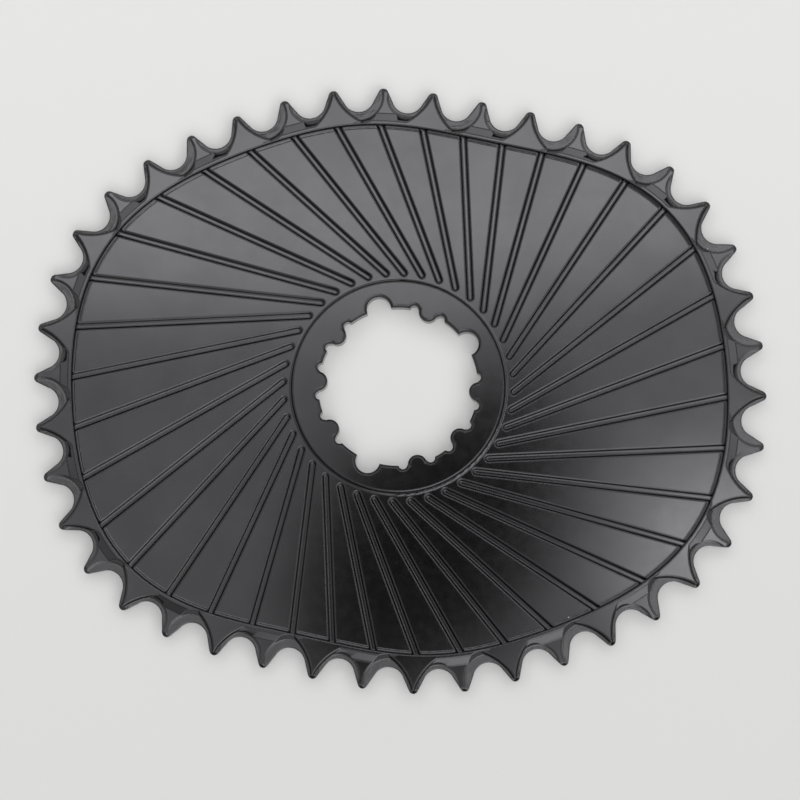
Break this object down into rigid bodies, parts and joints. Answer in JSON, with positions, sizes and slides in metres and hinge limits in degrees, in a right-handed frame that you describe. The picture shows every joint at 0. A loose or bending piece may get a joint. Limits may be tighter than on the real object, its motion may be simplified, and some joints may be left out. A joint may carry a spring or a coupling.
{
  "type": "oval chainring",
  "caption": "Oval bicycle chainring with alternating narrow and wide teeth, a recessed web with a swirl of grooves, and a lobed opening with bolt notches for the crank.",
  "frame": {"origin": "on the crank axis, at the flat back face that rests on the ground", "axes": "+X along the oval's long extent, +Z along the crank axis out of the grooved front face"},
  "size_m": [0.186, 0.1548, 0.0042],
  "materials": {
    "ring": "satin black anodised"
  },
  "bodies": {
    "root": {"chainring": "ring"}
  },
  "joints": []
}
